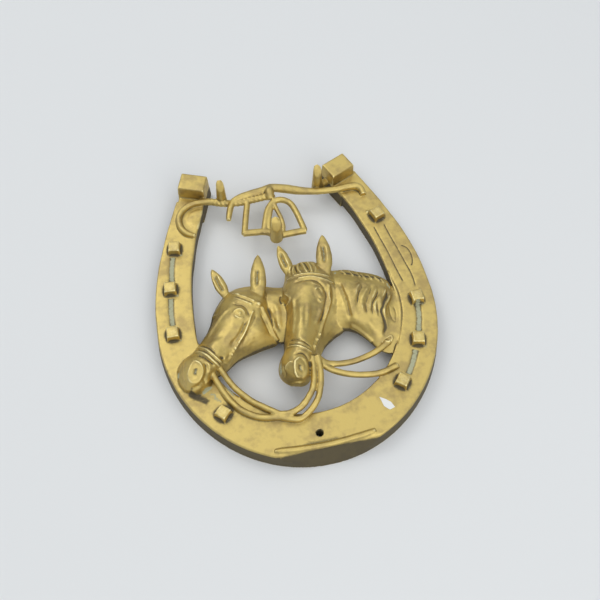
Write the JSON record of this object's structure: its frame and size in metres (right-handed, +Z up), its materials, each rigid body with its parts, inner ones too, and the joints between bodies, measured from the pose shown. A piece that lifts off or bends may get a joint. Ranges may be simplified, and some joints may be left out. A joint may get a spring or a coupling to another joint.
{
  "type": "brass horseshoe key rack",
  "caption": "Cast-brass horseshoe plaque with two bridled horse heads in relief, a hunting whip, stirrups and peg hooks, lying on its back.",
  "frame": {"origin": "below the middle of the casting's bounding box, on the plane of its back rim", "axes": "+X across the shoe, +Y from the toe to the heels, +Z up out of the back, as it lies on a table"},
  "size_m": [0.1626, 0.1939, 0.03],
  "materials": {
    "brass": "worn, hand-polished high spots with brown patina and pale residue in the recesses"
  },
  "bodies": {
    "root": {"plaque_casting": "brass"}
  },
  "joints": []
}
